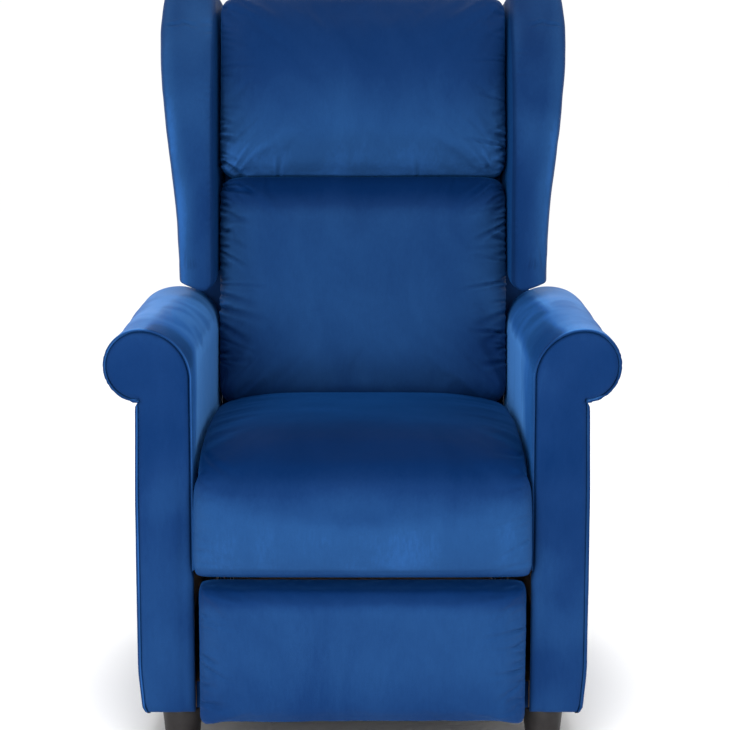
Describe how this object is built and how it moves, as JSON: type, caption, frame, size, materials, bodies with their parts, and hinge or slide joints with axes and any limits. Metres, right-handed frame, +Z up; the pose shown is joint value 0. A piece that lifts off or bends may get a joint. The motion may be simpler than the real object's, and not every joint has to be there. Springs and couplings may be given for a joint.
{
  "type": "recliner armchair",
  "caption": "Wingback push-back recliner armchair in blue velvet with scroll arms, a two-part padded back, a waterfall seat and a fold-out footrest.",
  "frame": {"origin": "on the floor, under the middle of the chair's bounding box", "axes": "+Z up, -Y out of the front of the chair towards the sitter's feet, +X to the right seen from the front"},
  "size_m": [0.728, 0.7833, 1.092],
  "materials": {
    "velvet": "royal blue short-pile velvet",
    "foot_plastic": "moulded black plastic",
    "frame_wood": "sanded raw softwood and plywood",
    "webbing": "black elastic webbing",
    "zinc_steel": "bright zinc-plated steel",
    "black_steel": "black lacquered sheet steel"
  },
  "bodies": {
    "base": {"left_side_frame": "frame_wood", "right_side_frame": "frame_wood", "left_inner_arm_pad": "velvet", "right_inner_arm_pad": "velvet", "left_outer_arm_cover": "velvet", "right_outer_arm_cover": "velvet", "left_arm_roll": "velvet", "right_arm_roll": "velvet", "left_arm_front_panel": "velvet", "right_arm_front_panel": "velvet", "left_base_rail": "frame_wood", "right_base_rail": "frame_wood", "left_front_foot": "foot_plastic", "left_rear_foot": "foot_plastic", "right_front_foot": "foot_plastic", "right_rear_foot": "foot_plastic", "foot_studs": "zinc_steel", "rear_cross_rail": "frame_wood", "rear_lower_cover": "velvet", "left_base_plate": "black_steel", "right_base_plate": "black_steel", "base_cross_tube": "black_steel", "base_swing_pins": "zinc_steel"},
    "front_swing": {"front_swing_links": "black_steel"},
    "rear_swing": {"rear_swing_links": "black_steel"},
    "seat": {"seat_front_rail": "frame_wood", "seat_rear_rail": "frame_wood", "seat_side_rails": "frame_wood", "left_seat_plate": "black_steel", "right_seat_plate": "black_steel", "seat_pins": "zinc_steel", "seat_springs": "zinc_steel", "spring_clips": "zinc_steel", "seat_cushion": "velvet"},
    "drive_link": {"footrest_drive_links": "black_steel", "drive_link_rivets": "zinc_steel"},
    "guide_link": {"footrest_guide_links": "black_steel", "footrest_guide_tube": "black_steel"},
    "carrier_link": {"footrest_carrier_links": "black_steel", "carrier_link_rivets": "zinc_steel"},
    "tie_link": {"footrest_tie_links": "black_steel"},
    "footrest": {"left_footrest_bracket": "black_steel", "right_footrest_bracket": "black_steel", "footrest_bracket_rivets": "zinc_steel", "footrest_board": "frame_wood", "footrest_cushion": "velvet"},
    "back": {"back_stiles": "frame_wood", "back_rails": "frame_wood", "back_webbing": "webbing", "back_top_pad": "velvet", "back_side_pads": "velvet", "lumbar_cushion": "velvet", "head_cushion": "velvet", "back_brackets": "black_steel", "left_wing_frame": "frame_wood", "right_wing_frame": "frame_wood", "left_wing_pad": "velvet", "right_wing_pad": "velvet", "rear_cover": "velvet"}
  },
  "joints": [
    {"name": "back_recline", "type": "hinge", "parent": "seat", "child": "back", "pos_m": [0, 0.19249, 0.3], "axis": [-1, 0, 0], "range_deg": [0, 32]},
    {"name": "front_swing_turn", "type": "hinge", "parent": "base", "child": "front_swing", "pos_m": [0, -0.15751, 0.115], "axis": [1, 0, 0], "range_deg": [0, 30]},
    {"name": "seat_level", "type": "hinge", "parent": "front_swing", "child": "seat", "pos_m": [0, -0.10891, 0.21923], "axis": [-1, 0, 0], "range_deg": [0, 30]},
    {"name": "rear_swing_turn", "type": "hinge", "parent": "base", "child": "rear_swing", "pos_m": [0, 0.01249, 0.115], "axis": [1, 0, 0], "range_deg": [0, 30]},
    {"name": "footrest_lift", "type": "hinge", "parent": "seat", "child": "drive_link", "pos_m": [0, -0.29551, 0.232], "axis": [-1, 0, 0], "range_deg": [0, 84]},
    {"name": "guide_turn", "type": "hinge", "parent": "seat", "child": "guide_link", "pos_m": [0, -0.19551, 0.232], "axis": [-1, 0, 0], "range_deg": [0, 84]},
    {"name": "carrier_level", "type": "hinge", "parent": "drive_link", "child": "carrier_link", "pos_m": [0, -0.21051, 0.062], "axis": [1, 0, 0], "range_deg": [0, 84]},
    {"name": "footrest_turn", "type": "hinge", "parent": "carrier_link", "child": "footrest", "pos_m": [0, -0.29051, 0.2], "axis": [-1, 0, 0], "range_deg": [0, 84]},
    {"name": "tie_level", "type": "hinge", "parent": "drive_link", "child": "tie_link", "pos_m": [0, -0.16744, 0.1066], "axis": [1, 0, 0], "range_deg": [0, 84]}
  ],
  "couplings": [
    {"joint": "front_swing_turn", "follows": "back_recline", "ratio": 0.9375},
    {"joint": "seat_level", "follows": "back_recline", "ratio": 0.9375},
    {"joint": "rear_swing_turn", "follows": "back_recline", "ratio": 0.9375},
    {"joint": "guide_turn", "follows": "footrest_lift", "ratio": 1},
    {"joint": "carrier_level", "follows": "footrest_lift", "ratio": 1},
    {"joint": "footrest_turn", "follows": "footrest_lift", "ratio": 1},
    {"joint": "tie_level", "follows": "footrest_lift", "ratio": 1}
  ]
}
